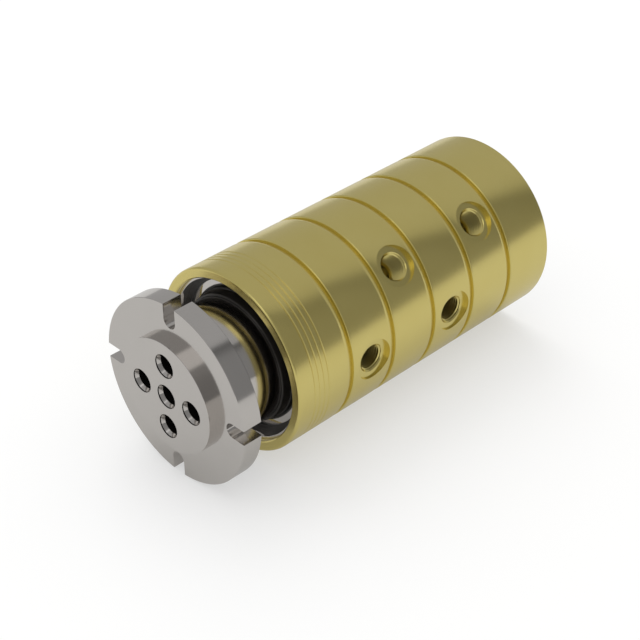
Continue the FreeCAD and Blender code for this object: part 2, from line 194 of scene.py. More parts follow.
def arc_through(corner: Corner, before: Vector, after: Vector) -> list[Vector]:
    """The points of the arc that rounds a corner.

    Args:
        corner: the corner and its rounding.
        before: the corner before it.
        after: the corner after it.

    Returns:
        Points from the side of before to the side of after.
    """
    here = corner.point()
    to_before = (before - here).normalized()
    to_after = (after - here).normalized()
    half_angle = to_before.angle(to_after) / 2
    centre = here + (to_before + to_after).normalized() * (corner.rounding / math.sin(half_angle))
    reach = corner.rounding / math.tan(half_angle)
    start = here + to_before * reach - centre
    end = here + to_after * reach - centre
    span = start.angle(end)
    points = []
    for step in range(ARC_STEPS + 1):
        share = step / ARC_STEPS
        spoke = start * math.sin((1 - share) * span) + end * math.sin(share * span)
        points.append(centre + spoke / math.sin(span))
    return points


def outline_points(corners: list[Corner]) -> list[Vector]:
    """Draws an outline's rounded corners as arcs.

    Args:
        corners: the outline's corners in order.

    Returns:
        The outline's points in metres.
    """
    points = []
    for i, corner in enumerate(corners):
        if corner.rounding:
            after = corners[(i + 1) % len(corners)].point()
            points += arc_through(corner, corners[i - 1].point(), after)
        else:
            points.append(corner.point())
    return [point * MM for point in points]


def groove(radius: float, floor: float, start: float, end: float) -> list[Corner]:
    """The corners of a square groove that goes from a radius to its floor, between two places."""
    return [Corner(radius, start), Corner(floor, start), Corner(floor, end), Corner(radius, end)]


def close_up(piece: Piece) -> None:
    """Merges doubled vertices, turns the faces outwards and leaves edit mode.

    Args:
        piece: The piece.
    """
    bpy.ops.mesh.select_all(action="SELECT")
    bpy.ops.mesh.remove_doubles(threshold=MERGE_DISTANCE)
    bpy.ops.mesh.normals_make_consistent(inside=False)
    bpy.ops.object.mode_set(mode="OBJECT")


def start_piece(name: str, place: Vector) -> Piece:
    """Starts a piece as one vertex, in edit mode, with its object at the origin.

    Args:
        name: the piece's name.
        place: the vertex's place in metres.

    Returns:
        The piece.
    """
    deselect_all()
    bpy.ops.mesh.primitive_plane_add(size=MM, location=place)
    apply_transform()
    piece = bpy.context.object
    piece.name = name
    piece.data.name = name
    bpy.ops.object.mode_set(mode="EDIT")
    bpy.ops.mesh.select_all(action="SELECT")
    bpy.ops.mesh.merge(type="CENTER")
    return piece


def draw_outline(name: str, corners: list[Corner], closed: bool) -> Piece:
    """Draws an outline vertex by vertex and leaves it in edit mode.

    Args:
        name: the piece's name.
        corners: the outline's corners in order.
        closed: whether the last corner joins the first.

    Returns:
        The piece that holds the outline.
    """
    points = outline_points(corners)
    piece = start_piece(name, points[0])
    for here, there in zip(points, points[1:]):
        bpy.ops.mesh.extrude_region_move(TRANSFORM_OT_translate={"value": there - here})
    if closed:
        select_vertices(piece, lambda vertex: len(vertex.link_edges) == 1)
        bpy.ops.mesh.edge_face_add()
    return piece


def turn(name: str, corners: list[Corner], closed: bool = True, steps: int = TURN_STEPS) -> Piece:
    """Turns an outline about the Y axis, as on a lathe.

    Args:
        name: the piece's name.
        corners: the outline's corners in order.
        closed: whether the outline is a ring, and not a line from axis to axis.
        steps: how many flats go round.

    Returns:
        The turned piece.
    """
    piece = draw_outline(name, corners, closed)
    bpy.ops.mesh.select_all(action="SELECT")
    bpy.ops.mesh.spin(steps=steps, angle=2 * math.pi, center=(0, 0, 0), axis=AXIS)
    close_up(piece)
    return piece


def aim(piece: Piece, place: Vector, direction: Vector) -> None:
    """Turns a piece's own Y axis to a direction, moves it to a place and applies both.

    Args:
        piece: the piece, modelled at the origin.
        place: where its origin goes, in millimetres.
        direction: where its Y axis points.
    """
    make_active(piece)
    turned = AXIS.rotation_difference(direction).to_matrix().to_4x4()
    piece.matrix_world = Matrix.Translation(place * MM) @ turned
    apply_transform()


def copy_of(piece: Piece, name: str) -> Piece:
    """Copies a piece.

    Args:
        piece: the piece to copy.
        name: the copy's name.

    Returns:
        The copy, with a mesh of its own.
    """
    twin = piece.copy()
    twin.data = piece.data.copy()
    twin.name = name
    twin.data.name = name
    bpy.context.scene.collection.objects.link(twin)
    return twin


def join(pieces: list[Piece]) -> Piece:
    """Joins pieces into the first of them.

    Args:
        pieces: the pieces.

    Returns:
        The first piece.
    """
    deselect_all()
    for piece in pieces:
        piece.select_set(True)
    bpy.context.view_layer.objects.active = pieces[0]
    bpy.ops.object.join()
    return pieces[0]


def combine(piece: Piece, tool: Piece, cut: Cut) -> None:
    """Cuts a tool from a piece, or joins it on, and removes the tool.

    Args:
        piece: the piece that changes.
        tool: the tool.
        cut: what the tool does.
    """
    make_active(piece)
    bpy.ops.object.modifier_add(type="BOOLEAN")
    modifier = piece.modifiers[-1]
    modifier.operation = cut.value
    modifier.solver = "EXACT"
    modifier.object = tool
    bpy.ops.object.modifier_apply(modifier=modifier.name)
    bpy.data.objects.remove(tool, do_unlink=True)


def cylinder(name: str, radius: float, near: Vector, far: Vector, sides: int) -> Piece:
    """A round bar between two points.

    Args:
        name: the bar's name.
        radius: its radius in millimetres.
        near: the middle of one end, in millimetres.
        far: the middle of the other end, in millimetres.
        sides: how many flats go round.

    Returns:
        The bar, used as a tool or joined to a piece.
    """
    deselect_all()
    bpy.ops.mesh.primitive_cylinder_add(vertices=sides, radius=radius * MM, depth=(far - near).length * MM)
    bar = bpy.context.object
    bar.name = name
    bar.matrix_world = (Matrix.Translation((near + far) / 2 * MM)
                        @ Vector((0, 0, 1)).rotation_difference(far - near).to_matrix().to_4x4())
    apply_transform()
    return bar


def add_node(tree: Tree, kind: str, inputs: dict | None = None, **settings) -> bpy.types.Node:
    """Adds a node, with its settings, values and links.

    Args:
        tree: the material's or world's node tree.
        kind: the node's type, without ShaderNode before it.
        inputs: for each socket, a value or the socket that feeds it.
        settings: properties of the node.

    Returns:
        The new node.
    """
    node = tree.nodes.new("ShaderNode" + kind)
    for key, value in settings.items():
        setattr(node, key, value)
    for key, value in (inputs or {}).items():
        if isinstance(value, Socket):
            tree.links.new(value, node.inputs[key])
        else:
            node.inputs[key].default_value = value
    return node


def new_tree(name: str) -> tuple[bpy.types.Material, Tree]:
    """Makes an empty material.

    Args:
        name: the material's name.

    Returns:
        The material and its node tree.
    """
    material = bpy.data.materials.new(name)
    material.use_nodes = True
    material.node_tree.nodes.clear()
    return material, material.node_tree


def lathe_marks(tree: Tree, spacing: float) -> Socket:
    """Adds rings round the Y axis, on cylinders and on end faces.

    Args:
        tree: the material's node tree.
        spacing: the rings' spacing in millimetres.

    Returns:
        The socket with the rings.
    """
    place = add_node(tree, "TexCoord").outputs["Object"]
    flat = add_node(tree, "VectorMath", {0: place, 1: (1.0, 0.0, 1.0)}, operation="MULTIPLY")
    radius = add_node(tree, "VectorMath", {0: flat.outputs["Vector"]}, operation="LENGTH")
    parts = add_node(tree, "SeparateXYZ", {"Vector": place})
    rings = add_node(tree, "CombineXYZ", {"X": radius.outputs["Value"], "Y": parts.outputs["Y"]})
    noise = add_node(tree, "TexNoise", {
        "Vector": rings.outputs["Vector"], "Scale": 1.0 / (spacing * MM), "Detail": MARK_DETAIL})
    return noise.outputs["Fac"]


def patches(tree: Tree, size: float) -> Socket:
    """Adds soft patches.

    Args:
        tree: the material's node tree.
        size: the patches' size in millimetres.

    Returns:
        The socket with the patches.
    """
    place = add_node(tree, "TexCoord").outputs["Object"]
    noise = add_node(tree, "TexNoise", {
        "Vector": place, "Scale": 1.0 / (size * MM), "Detail": PATCH_DETAIL})
    return noise.outputs["Fac"]


@dataclass(frozen=True)
class Finish:
    """A surface with two near colours in soft patches, a range of gloss and a fine relief, in millimetres."""

    name: str
    colour: str
    patch_colour: str
    smooth: float
    rough: float
    relief_size: float
    relief_height: float
    patch_size: float
    relief_strength: float
    metallic: float

    def shade(self, tree: Tree, spots: Socket, sheen: Socket, height: Socket) -> None:
        """Adds the shader to a material's nodes.

        Args:
            tree: the material's node tree.
            spots: how much of the second colour shows.
            sheen: where the surface is rougher.
            height: the height of the relief.
        """
        colour = add_node(tree, "Mix", {
            "Factor": spots, "A": linear(self.colour), "B": linear(self.patch_colour)}, data_type="RGBA")
        gloss = add_node(tree, "MapRange", {"Value": sheen, "To Min": self.smooth, "To Max": self.rough})
        relief = add_node(tree, "Bump", {
            "Height": height, "Distance": self.relief_height * MM, "Strength": self.relief_strength})
        shader = add_node(tree, "BsdfPrincipled", {
            "Base Color": colour.outputs["Result"], "Metallic": self.metallic,
            "Roughness": gloss.outputs["Result"], "Normal": relief.outputs["Normal"]})
        add_node(tree, "OutputMaterial", {"Surface": shader.outputs["BSDF"]})


@dataclass(frozen=True)
class TurnedMetal(Finish):
    """A metal surface from a lathe or a grinder: faint rings, with slightly uneven gloss and colour."""

    patch_size: float = 18.0
    relief_strength: float = 0.6
    metallic: float = 1.0

    def material(self) -> bpy.types.Material:
        """Makes the metal's material.

        Returns:
            The material.
        """
        material, tree = new_tree(self.name)
        marks = lathe_marks(tree, self.relief_size)
        self.shade(tree, patches(tree, self.patch_size), marks, marks)
        return material


@dataclass(frozen=True)
class MouldedPolymer(Finish):
    """A rubber or plastic surface from a mould: a fine grain and patches that shine a little more."""

    patch_size: float = 9.0
    relief_strength: float = 0.5
    metallic: float = 0.0

    def material(self) -> bpy.types.Material:
        """Makes the polymer's material.

        Returns:
            The material.
        """
        material, tree = new_tree(self.name)
        spots = patches(tree, self.patch_size)
        self.shade(tree, spots, spots, patches(tree, self.relief_size))
        return material


# Rough steel inside the deep passages; its nearly black colour is painted shade, standing in for the shade
# deep in a passage
PASSAGE_SHADE_STEEL = TurnedMetal("passage_painted_shade_steel", "#3A3734", "#2C2A28", 0.5, 0.62, 0.5, 0.004)

# The finishes of the record's material slots
FINISHES = {
    # Finely turned carbon steel: bright and grey, with blurred reflections
    "turned_steel": TurnedMetal("turned_steel", "#D2CECA", "#CCC8C4", 0.1, 0.15, 0.25, 0.0006),
    # Yellow-passivated zinc on turned steel: a satin greenish gold, deeper where it mirrors itself
    "yellow_zinc_plated_steel": TurnedMetal("yellow_zinc_plated_steel", "#E8D98C", "#E2D180",
                                            0.2, 0.27, 0.3, 0.0006),
    # Pressed and polished case of the shaft seal: the sharpest mirror on the part
    "polished_steel_case": TurnedMetal("polished_steel_case", "#D6D2CE", "#CCC8C4", 0.04, 0.08, 0.5, 0.002),
    # Phosphated spring steel: nearly black, with a dull grey sheen
    "spring_steel": TurnedMetal("phosphated_spring_steel", "#5A5A5C", "#4A4A4C", 0.38, 0.5, 0.3, 0.001),
    # Ground and lapped bearing steel: bright, with a fine grey lay
    "bearing_steel": TurnedMetal("bearing_steel", "#DCDCDC", "#D0D0D0", 0.12, 0.2, 0.15, 0.0004),
    # Nitrile rubber from a mould: black, with a low soft sheen
    "nitrile_rubber": MouldedPolymer("nitrile_rubber", "#1A1816", "#211E1B", 0.3, 0.38, 0.3, 0.0006),
    # Bronze-filled PTFE, turned from a tube: brown and waxy
    "ptfe_compound": MouldedPolymer("ptfe_compound", "#7A6248", "#6C563E", 0.42, 0.5, 0.4, 0.002),
    # Glass-filled polyamide from a mould: cream, with a fine speckle
    "moulded_polyamide": MouldedPolymer("moulded_polyamide", "#E2DAC0", "#D2C8AA", 0.4, 0.55, 0.3, 0.004),
}


class Wardrobe:
    """Makes each finish's material once and gives it to pieces and CAD nodes."""

    def __init__(self) -> None:
        """Makes the materials of all finishes, and the nearly black steel that paints shade inside the
        passages.
        """
        self.materials = {slot: finish.material() for slot, finish in FINISHES.items()}
        # The nearly black steel that paints shade inside the passages
        self.passage_shade = PASSAGE_SHADE_STEEL.material()

    def dress(self, piece: Piece, slot: str) -> None:
        """Gives a piece the material of a slot, and nothing else."""
        piece.data.materials.clear()
        piece.data.materials.append(self.materials[slot])

    def paint_passage_shade(self, piece: Piece, inside: Callable[[Vector], bool]) -> None:
        """Paints shade into a piece: gives the nearly black passage steel to some of its faces.

        Args:
            piece: the dressed piece.
            inside: the test of a face's centre, in millimetres.
        """
        piece.data.materials.append(self.passage_shade)
        second = len(piece.data.materials) - 1
        for face in piece.data.polygons:
            if inside(face.center / MM):
                face.material_index = second

    def place(self, piece: Piece, body: Body, slot: str, *nodes: str) -> None:
        """Finishes a modelled piece: shading, material, the body it rides on and the nodes it stands for.

        Args:
            piece: the finished mesh.
            body: the body that carries it.
            slot: the record's material slot.
            nodes: the CAD nodes that it replaces.
        """
        make_active(piece)
        bpy.ops.object.shade_smooth_by_angle(angle=SMOOTH_ANGLE)
        self.dress(piece, slot)
        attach(piece, body.value)
        if nodes:
            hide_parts(*nodes)
        faces = len(piece.data.polygons)
        log.info("%s rides on %s in %s, %d faces", piece.name, body.value, slot, faces)

    def dress_frame(self, shown: list[str]) -> None:
        """Gives every CAD node that stays in view the material of its own slot.

        Args:
            shown: the nodes' names.
        """
        slots = {part["node"]: part["material_slot"] for part in frame["record"]["subparts"]}
        for name in shown:
            self.dress(frame["nodes"][name], slots[name])
            log.info("%s keeps its CAD shape in %s", name, slots[name])


@dataclass
class PortThread:
    """The ridges of a G1/4 thread, modelled once about the Y axis, with its mouth at y = 0."""

    major_radius: float = 6.58
    crest_radius: float = 5.78
    pitch: float = 1.337
    root_share: float = 0.42
    crest_share: float = 0.07
    sunk: float = 0.05
    mouth_radius: float = 6.95
    turn_steps: int = 48

    @property
    def chamfer(self) -> float:
        """The width of the mouth's chamfer, which is as deep as it is wide."""
        return self.mouth_radius - self.major_radius

    def ridge(self, name: str, depth: float) -> Piece:
        """Winds one helical ridge that starts in the mouth's chamfer.

        Args:
            name: the ridge's name.
            depth: the thread's depth.

        Returns:
            The ridge.
        """
        root = self.pitch * self.root_share
        crest = self.pitch * self.crest_share
        outer = self.major_radius + self.sunk
        piece = draw_outline(name, [Corner(outer, -root), Corner(self.crest_radius, -crest),
                                    Corner(self.crest_radius, crest), Corner(outer, root)], closed=True)
        bpy.ops.object.mode_set(mode="OBJECT")
        bpy.ops.object.modifier_add(type="SCREW")
        screw = piece.modifiers[-1]
        screw.axis = "Y"
        screw.screw_offset = self.pitch * MM
        screw.iterations = int(depth / self.pitch)
        screw.steps = self.turn_steps
        screw.render_steps = self.turn_steps
        bpy.ops.object.modifier_apply(modifier=screw.name)
        bpy.ops.object.mode_set(mode="EDIT")
        bpy.ops.mesh.select_all(action="SELECT")
        bpy.ops.mesh.fill_holes(sides=4)
        close_up(piece)
        combine(piece, self.mouth_cone(), Cut.AWAY)
        return piece

    def mouth_cone(self) -> Piece:
        """Makes the tool that opens the thread's first turn to the mouth's chamfer.

        Returns:
            The tool.
        """
        above = self.pitch * 2
        return turn("mouth_cone", [Corner(0, -above), Corner(self.mouth_radius + above, -above),
                                   Corner(0, self.mouth_radius)], closed=False, steps=self.turn_steps)


@dataclass
class ShaftPart:
    """The shaft: flange with open slots, pilot boss with five face ports, neck, seats and journal."""

    flange_thickness: float = 10.0
    flange_edge: float = 0.2
    slot_width: float = 7.4
    middle_margin: float = 0.01
    bolt_circle: float = 75.0
    slot_count: int = 4
    pilot_diameter: float = 56.0
    pilot_edge: float = 0.15
    port_circle: float = 32.5
    port_mouth_diameter: float = 11.6
    port_edge: float = 0.1
    port_wall: float = 0.7
    port_cone_depth: float = 2.4
    passage_diameter: float = 10.0
    cross_drill_diameter: float = 9.0
    journal_diameter: float = 49.4
    neck_diameter: float = 60.0
    ring_groove_depth: float = 1.25
    ring_play: float = 0.1
    end_chamfer: float = 1.0
    pocket_diameter: float = 26.0
    pocket_depth: float = 13.5
    drill_point: float = 3.0
    passage_spacing: float = 90.0
    passage_margin: float = 0.1
    tool_sides: int = 72
    drill_sides: int = 64

    def build(self, wardrobe: Wardrobe) -> None:
        """Turns the shaft, cuts its slots, ports and drillings, dresses it and paints shade inside its
        passages.

        Args:
            wardrobe: the finishes.
        """
        low, high = box_mm("shaft")
        shaft = self.turned_blank(low, high)
        combine(shaft, self.slots_and_passages(low.y), Cut.AWAY)
        combine(shaft, self.cross_drillings(), Cut.AWAY)
        shaft.name = "drilled_shaft"
        wardrobe.place(shaft, Body.SHAFT, "turned_steel", "shaft")
        # Painted shade: the faces deep in the passages get the nearly black steel
        wardrobe.paint_passage_shade(shaft, lambda place: self.in_passage(place, low.y))

    def in_passage(self, place: Vector, face: float) -> bool:
        """Finds out whether a place lies in one of the five passages, behind the cone of its face port.

        Args:
            place: the place.
            face: where the pilot's face is on the axis.

        Returns:
            True inside a passage.
        """
        middle = self.port_circle / 2
        across = Vector((abs(place.x), abs(place.z)))
        centres = (Vector((0, 0)), Vector((middle, 0)), Vector((0, middle)))
        reach = self.passage_diameter / 2 + self.passage_margin
        behind_cone = place.y > face + self.port_cone_depth
        return behind_cone and any((across - centre).length < reach for centre in centres)

    def port_mouth(self, face: float) -> list[Corner]:
        """Outlines a face port from the face inwards: edge, short straight wall, cone to the passage.

        Args:
            face: where the pilot's face is on the axis.

        Returns:
            The outline's corners.
        """
        mouth = self.port_mouth_diameter / 2
        return [Corner(mouth + self.port_edge, face), Corner(mouth, face + self.port_edge),
                Corner(mouth, face + self.port_wall),
                Corner(self.passage_diameter / 2, face + self.port_cone_depth)]

    def turned_blank(self, low: Vector, high: Vector) -> Piece:
        """Turns the shaft, with the centre passage and the stem's pocket.

        Args:
            low: the lowest corner of the shaft's box.
            high: the highest corner of the shaft's box.

        Returns:
            The turned shaft.
        """
        rim = -low.x
        pilot = self.pilot_diameter / 2
        neck = self.neck_diameter / 2
        journal = self.journal_diameter / 2
        bore = self.passage_diameter / 2
        pocket = self.pocket_diameter / 2
        pocket_floor = high.y - self.pocket_depth
        front = box_mm("front_bearing_inner_ring")
        rear = box_mm("rear_bearing_inner_ring")
        ring = box_mm("shaft_retaining_ring")
        front_seat = inner_radius("front_bearing_inner_ring")
        rear_seat = inner_radius("rear_bearing_inner_ring")
        ring_floor = rear_seat - self.ring_groove_depth
        ring_end = ring[1].y + self.ring_play
        return turn("drilled_shaft", list(reversed(self.port_mouth(low.y))) + [
            Corner(pilot - self.pilot_edge, low.y), Corner(pilot, low.y + self.pilot_edge),
            Corner(pilot, 0),
            Corner(rim - self.flange_edge, 0), Corner(rim, self.flange_edge),
            Corner(rim, self.flange_thickness - self.flange_edge),
            Corner(rim - self.flange_edge, self.flange_thickness),
            Corner(neck, self.flange_thickness), Corner(neck, front[0].y),
            Corner(front_seat, front[0].y), Corner(front_seat, front[1].y),
            Corner(journal, front[1].y), Corner(journal, rear[0].y),
            Corner(rear_seat, rear[0].y), *groove(rear_seat, ring_floor, rear[1].y, ring_end),
            Corner(rear_seat, high.y - self.end_chamfer),
            Corner(rear_seat - self.end_chamfer, high.y), Corner(pocket, high.y),
            Corner(pocket, pocket_floor), Corner(bore, pocket_floor),
        ])

    def face_port(self, name: str, mouth: float, depth: float) -> Piece:
        """Makes the tool of one face port: its mouth and its passage, about their own axis.

        Args:
            name: the tool's name.
            mouth: where the pilot's face is on the axis.
            depth: how far the passage goes in.

        Returns:
            The tool.
        """
        wide = self.port_mouth_diameter / 2 + self.port_edge + OVERSHOOT
        start = mouth - OVERSHOOT
        end = mouth + depth
        return turn(name, [Corner(0, start), Corner(wide, start)] + self.port_mouth(mouth) + [
            Corner(self.passage_diameter / 2, end), Corner(0, end + self.drill_point),
        ], closed=False, steps=self.tool_sides)

    def passage_way(self, number: int) -> Vector:
        """The direction from the axis to the passage of a side port."""
        return radial(self.passage_spacing * (number - 1))

    def slots_and_passages(self, mouth: float) -> Piece:
        """Makes the tools of the flange's slots and of the four outer face ports.

        Args:
            mouth: where the pilot's face is on the axis.

        Returns:
            The tools, as one.
        """
        tools = []
        for number in SIDE_PORTS:
            tool = self.face_port("passage_tool", mouth, side_port(number)[1] - mouth)
            aim(tool, self.passage_way(number) * (self.port_circle / 2), AXIS)
            tools.append(tool)
        first = self.slot_tool()
        for number in range(1, self.slot_count):
            twin = copy_of(first, "slot_tool")
            make_active(twin)
            twin.rotation_euler.y = math.radians(360.0 / self.slot_count * number)
            apply_transform()
            tools.append(twin)
        tools.append(first)
        return join(tools)

    def slot_tool(self) -> Piece:
        """Makes the tool of one slot: a round bar whose outer half is pushed out past the rim.

        Returns:
            The tool.
        """
        centre = self.bolt_circle / 2
        near = Vector((centre, -OVERSHOOT, 0))
        far = Vector((centre, self.flange_thickness + OVERSHOOT * 2, 0))
        tool = cylinder("slot_tool", self.slot_width / 2, near, far, self.tool_sides)
        bpy.ops.object.mode_set(mode="EDIT")
        middle = (centre + self.middle_margin) * MM
        select_vertices(tool, lambda vertex: vertex.co.x > middle)
        bpy.ops.transform.translate(value=(self.flange_thickness * MM, 0, 0))
        close_up(tool)
        return tool

    def cross_drillings(self) -> Piece:
        """Makes the tools of the drillings that lead from the passages to the galleries.

        Returns:
            The tools, as one.
        """
        tools = []
        for number in SIDE_PORTS:
            y = side_port(number)[1]
            way = self.passage_way(number)
            start = way * (self.port_circle / 2) + AXIS * y
            end = way * (self.journal_diameter / 2 + OVERSHOOT) + AXIS * y
            tools.append(cylinder("cross_drill", self.cross_drill_diameter / 2, start, end, self.drill_sides))
        return join(tools)


@dataclass
class HousingPart:
    """The housing: a tube of five segments, with seats, galleries, seal grooves and side ports."""

    bore_radius: float = 25.0
    bore_edge: float = 0.3
    seal_groove_radius: float = 30.05
    seal_groove_width: float = 4.2
    gallery_radius: float = 29.0
    gallery_width: float = 10.0
    front_round: float = 1.4
    rear_chamfer: float = 0.4
    mouth_chamfer: float = 0.5
    ring_groove_depth: float = 1.75
    cover_radius: float = 37.5
    cover_seat_gap: float = 0.2
    cover_groove_depth: float = 1.5
    spigot_length: float = 2.0
    segment_ends: tuple[float, ...] = (65.1, 91.97, 118.84, 145.71, 172.58)
    shoulder_width: float = 3.5
    shoulder_depth: float = 1.35
    shoulder_round: float = 3.0
    segment_edge: float = 0.6
    segment_gap: float = 0.45
    fine_line_first: float = 41.55
    fine_line_pitch: float = 2.86
    fine_line_count: int = 4
    fine_line_width: float = 1.0
    fine_line_depth: float = 0.55
    spotface_diameter: float = 20.0
    spotface_depth: float = 2.0
    thread_depth: float = 11.0
    drilling_diameter: float = 9.0
    port_sides: int = 96

    def build(self, wardrobe: Wardrobe, thread: PortThread) -> None:
        """Turns the housing, cuts its side ports, adds their threads and dresses all.

        Args:
            wardrobe: the finishes.
            thread: the thread of its ports.
        """
        low, high = box_mm("housing")
        housing = turn("grooved_housing", self.inside(low.y, high.y) + self.outside(low.y, high.y, -low.x))
        floor = high.x - self.spotface_depth
        combine(housing, self.port_tools(floor, thread), Cut.AWAY)
        wardrobe.place(housing, Body.HOUSING, "yellow_zinc_plated_steel", "housing")
        ridge = thread.ridge("side_port_thread", self.thread_depth)
        for number in SIDE_PORTS:
            way, y = side_port(number)
            piece = copy_of(ridge, "side_port_thread_%d" % number)
            aim(piece, way * floor + AXIS * y, way * -1)
            wardrobe.place(piece, Body.HOUSING, "yellow_zinc_plated_steel")
        bpy.data.objects.remove(ridge, do_unlink=True)

    def inside(self, front: float, rear: float) -> list[Corner]:
        """Outlines the inner side, from the mouth to the rear.

        Args:
            front: the housing's front on the axis.
            rear: the housing's rear on the axis.

        Returns:
            The corners.
        """
        mouth = box_mm("front_bearing_outer_ring")
        rear_ring = box_mm("rear_bearing_outer_ring")
        ring = box_mm("front_retaining_ring")
        cover = box_mm("rear_cover")
        cover_ring = box_mm("cover_retaining_ring")
        mouth_radius = mouth[1].x
        ring_floor = mouth_radius + self.ring_groove_depth
        step = rear_ring[1].y + self.spigot_length - self.cover_seat_gap
        cover_floor = self.cover_radius + self.cover_groove_depth
        corners = [
            Corner(mouth_radius + self.mouth_chamfer, front),
            Corner(mouth_radius, front + self.mouth_chamfer),
            *groove(mouth_radius, ring_floor, ring[0].y, mouth[0].y),
            Corner(mouth_radius, mouth[1].y), Corner(self.bore_radius, mouth[1].y, self.bore_edge),
        ]
        recesses = []
        for number in PASSAGE_SEALS:
            seal = box_mm("passage_seal_%d" % number)
            recesses.append(((seal[0].y + seal[1].y) / 2, self.seal_groove_width, self.seal_groove_radius))
        for number in SIDE_PORTS:
            recesses.append((side_port(number)[1], self.gallery_width, self.gallery_radius))
        for place, width, radius in sorted(recesses):
            corners += groove(self.bore_radius, radius, place - width / 2, place + width / 2)
        corners += [
            Corner(self.bore_radius, rear_ring[0].y), Corner(rear_ring[1].x, rear_ring[0].y),
            Corner(rear_ring[1].x, step), Corner(self.cover_radius, step),
            *groove(self.cover_radius, cover_floor, cover[1].y, cover_ring[1].y),
            Corner(self.cover_radius, rear - self.mouth_chamfer),
            Corner(self.cover_radius + self.mouth_chamfer, rear),
        ]
        return corners

    def outside(self, front: float, rear: float, radius: float) -> list[Corner]:
        """Outlines the outer side, from the rear to the rounded front edge.

        Args:
            front: the housing's front on the axis.
            rear: the housing's rear on the axis.
            radius: the housing's radius.

        Returns:
            The corners.
        """
        corners = [Corner(radius - self.rear_chamfer, rear), Corner(radius, rear - self.rear_chamfer)]
        for end in reversed(self.segment_ends):
            corners += self.segment_joint(radius, end)
        for number in reversed(range(self.fine_line_count)):
            y = self.fine_line_first + number * self.fine_line_pitch
            half = self.fine_line_width / 2
            corners += [Corner(radius, y + half), Corner(radius - self.fine_line_depth, y),
                        Corner(radius, y - half)]
        corners.append(Corner(radius, front, self.front_round))
        return corners

    def segment_joint(self, radius: float, end: float) -> list[Corner]:
        """Outlines the groove between two segments: a wall with a rounded edge, and a sloping shoulder.

        Args:
            radius: the housing's radius.
            end: where the front segment ends.

        Returns:
            The corners.
        """
        wall = end + self.segment_gap
        return [Corner(radius, wall, self.segment_edge), Corner(radius - self.shoulder_depth, wall),
                Corner(radius, wall - self.shoulder_width, self.shoulder_round)]

    def port_tools(self, floor: float, thread: PortThread) -> Piece:
        """Makes the tools of the four side ports.

        Args:
            floor: the spotfaces' distance from the axis.
            thread: the ports' thread.

        Returns:
            The tools, as one.
        """
        spot = self.spotface_diameter / 2
        above = self.spotface_depth * 2
        drill = self.drilling_diameter / 2
        end = floor - self.bore_radius + OVERSHOOT
        tool = turn("port_tool", [
            Corner(0, -above), Corner(spot, -above), Corner(spot, 0), Corner(thread.mouth_radius, 0),
            Corner(thread.major_radius, thread.chamfer), Corner(thread.major_radius, self.thread_depth),
            Corner(drill, self.thread_depth), Corner(drill, end), Corner(0, end),
        ], closed=False, steps=self.port_sides)
        tools = []
        for number in SIDE_PORTS:
            way, y = side_port(number)
            twin = copy_of(tool, "port_tool")
            aim(twin, way * floor + AXIS * y, way * -1)
            tools.append(twin)
        bpy.data.objects.remove(tool, do_unlink=True)
        return join(tools)


@dataclass
class DustSeal:
    """The seal in the housing's mouth: a polished steel case, open to the front, with black rubber on its
    rear wall: a long lip that runs on the neck, and a bead in the corner of the case."""

    case_wall: float = 1.2
    case_round: float = 1.6
    case_edge: float = 0.2
    window_radius: float = 30.8
    neck_radius: float = 30.03
    lip_recess: float = 0.3
    lip_round: float = 0.3
    lip_thickness: float = 1.2
    lip_swell: float = 1.9
    root_radius: float = 33.2
    bead_radius: float = 36.0
    bead_height: float = 1.2
    bead_round: float = 0.5
    spring_play: float = 0.05

    def build(self, wardrobe: Wardrobe) -> None:
        """Makes the case, the lip and the bead.

        Args:
            wardrobe: the finishes.
        """
        low, high = box_mm("dust_seal_case")
        inner = high.x - self.case_wall
        wall = high.y - self.case_wall
        case = turn("seal_case", [
            Corner(inner, low.y, self.case_edge), Corner(high.x, low.y, self.case_edge),
            Corner(high.x, high.y, self.case_round), Corner(self.window_radius, high.y),
            Corner(self.window_radius, wall), Corner(inner, wall, self.case_edge),
        ])
        wardrobe.place(case, Body.HOUSING, "polished_steel_case", "dust_seal_case")
        lip_front = low.y + self.lip_recess
        lip_rear = high.y - self.lip_recess
        spring = box_mm("dust_seal_spring")
        groove_front = spring[0].y - self.spring_play
        groove_rear = spring[1].y + self.spring_play
        lip = turn("seal_lip", [
            Corner(self.neck_radius, lip_front, self.lip_round),
            Corner(self.neck_radius + self.lip_thickness, lip_front, self.lip_round),
            Corner(self.neck_radius + self.lip_swell, groove_front, self.lip_round),
            Corner(self.window_radius, groove_front), Corner(self.window_radius, groove_rear),
            Corner(self.root_radius, groove_rear), Corner(self.root_radius, wall),
            Corner(self.window_radius, wall),
            Corner(self.window_radius, lip_rear), Corner(self.neck_radius, lip_rear, self.lip_round),
        ])
        wardrobe.place(lip, Body.HOUSING, "nitrile_rubber", "dust_seal_lip")
        bead = turn("seal_bead", [
            Corner(self.bead_radius, wall - self.bead_height, self.bead_round),
            Corner(inner, wall - self.bead_height), Corner(inner, wall), Corner(self.bead_radius, wall),
        ])
        wardrobe.place(bead, Body.HOUSING, "nitrile_rubber")


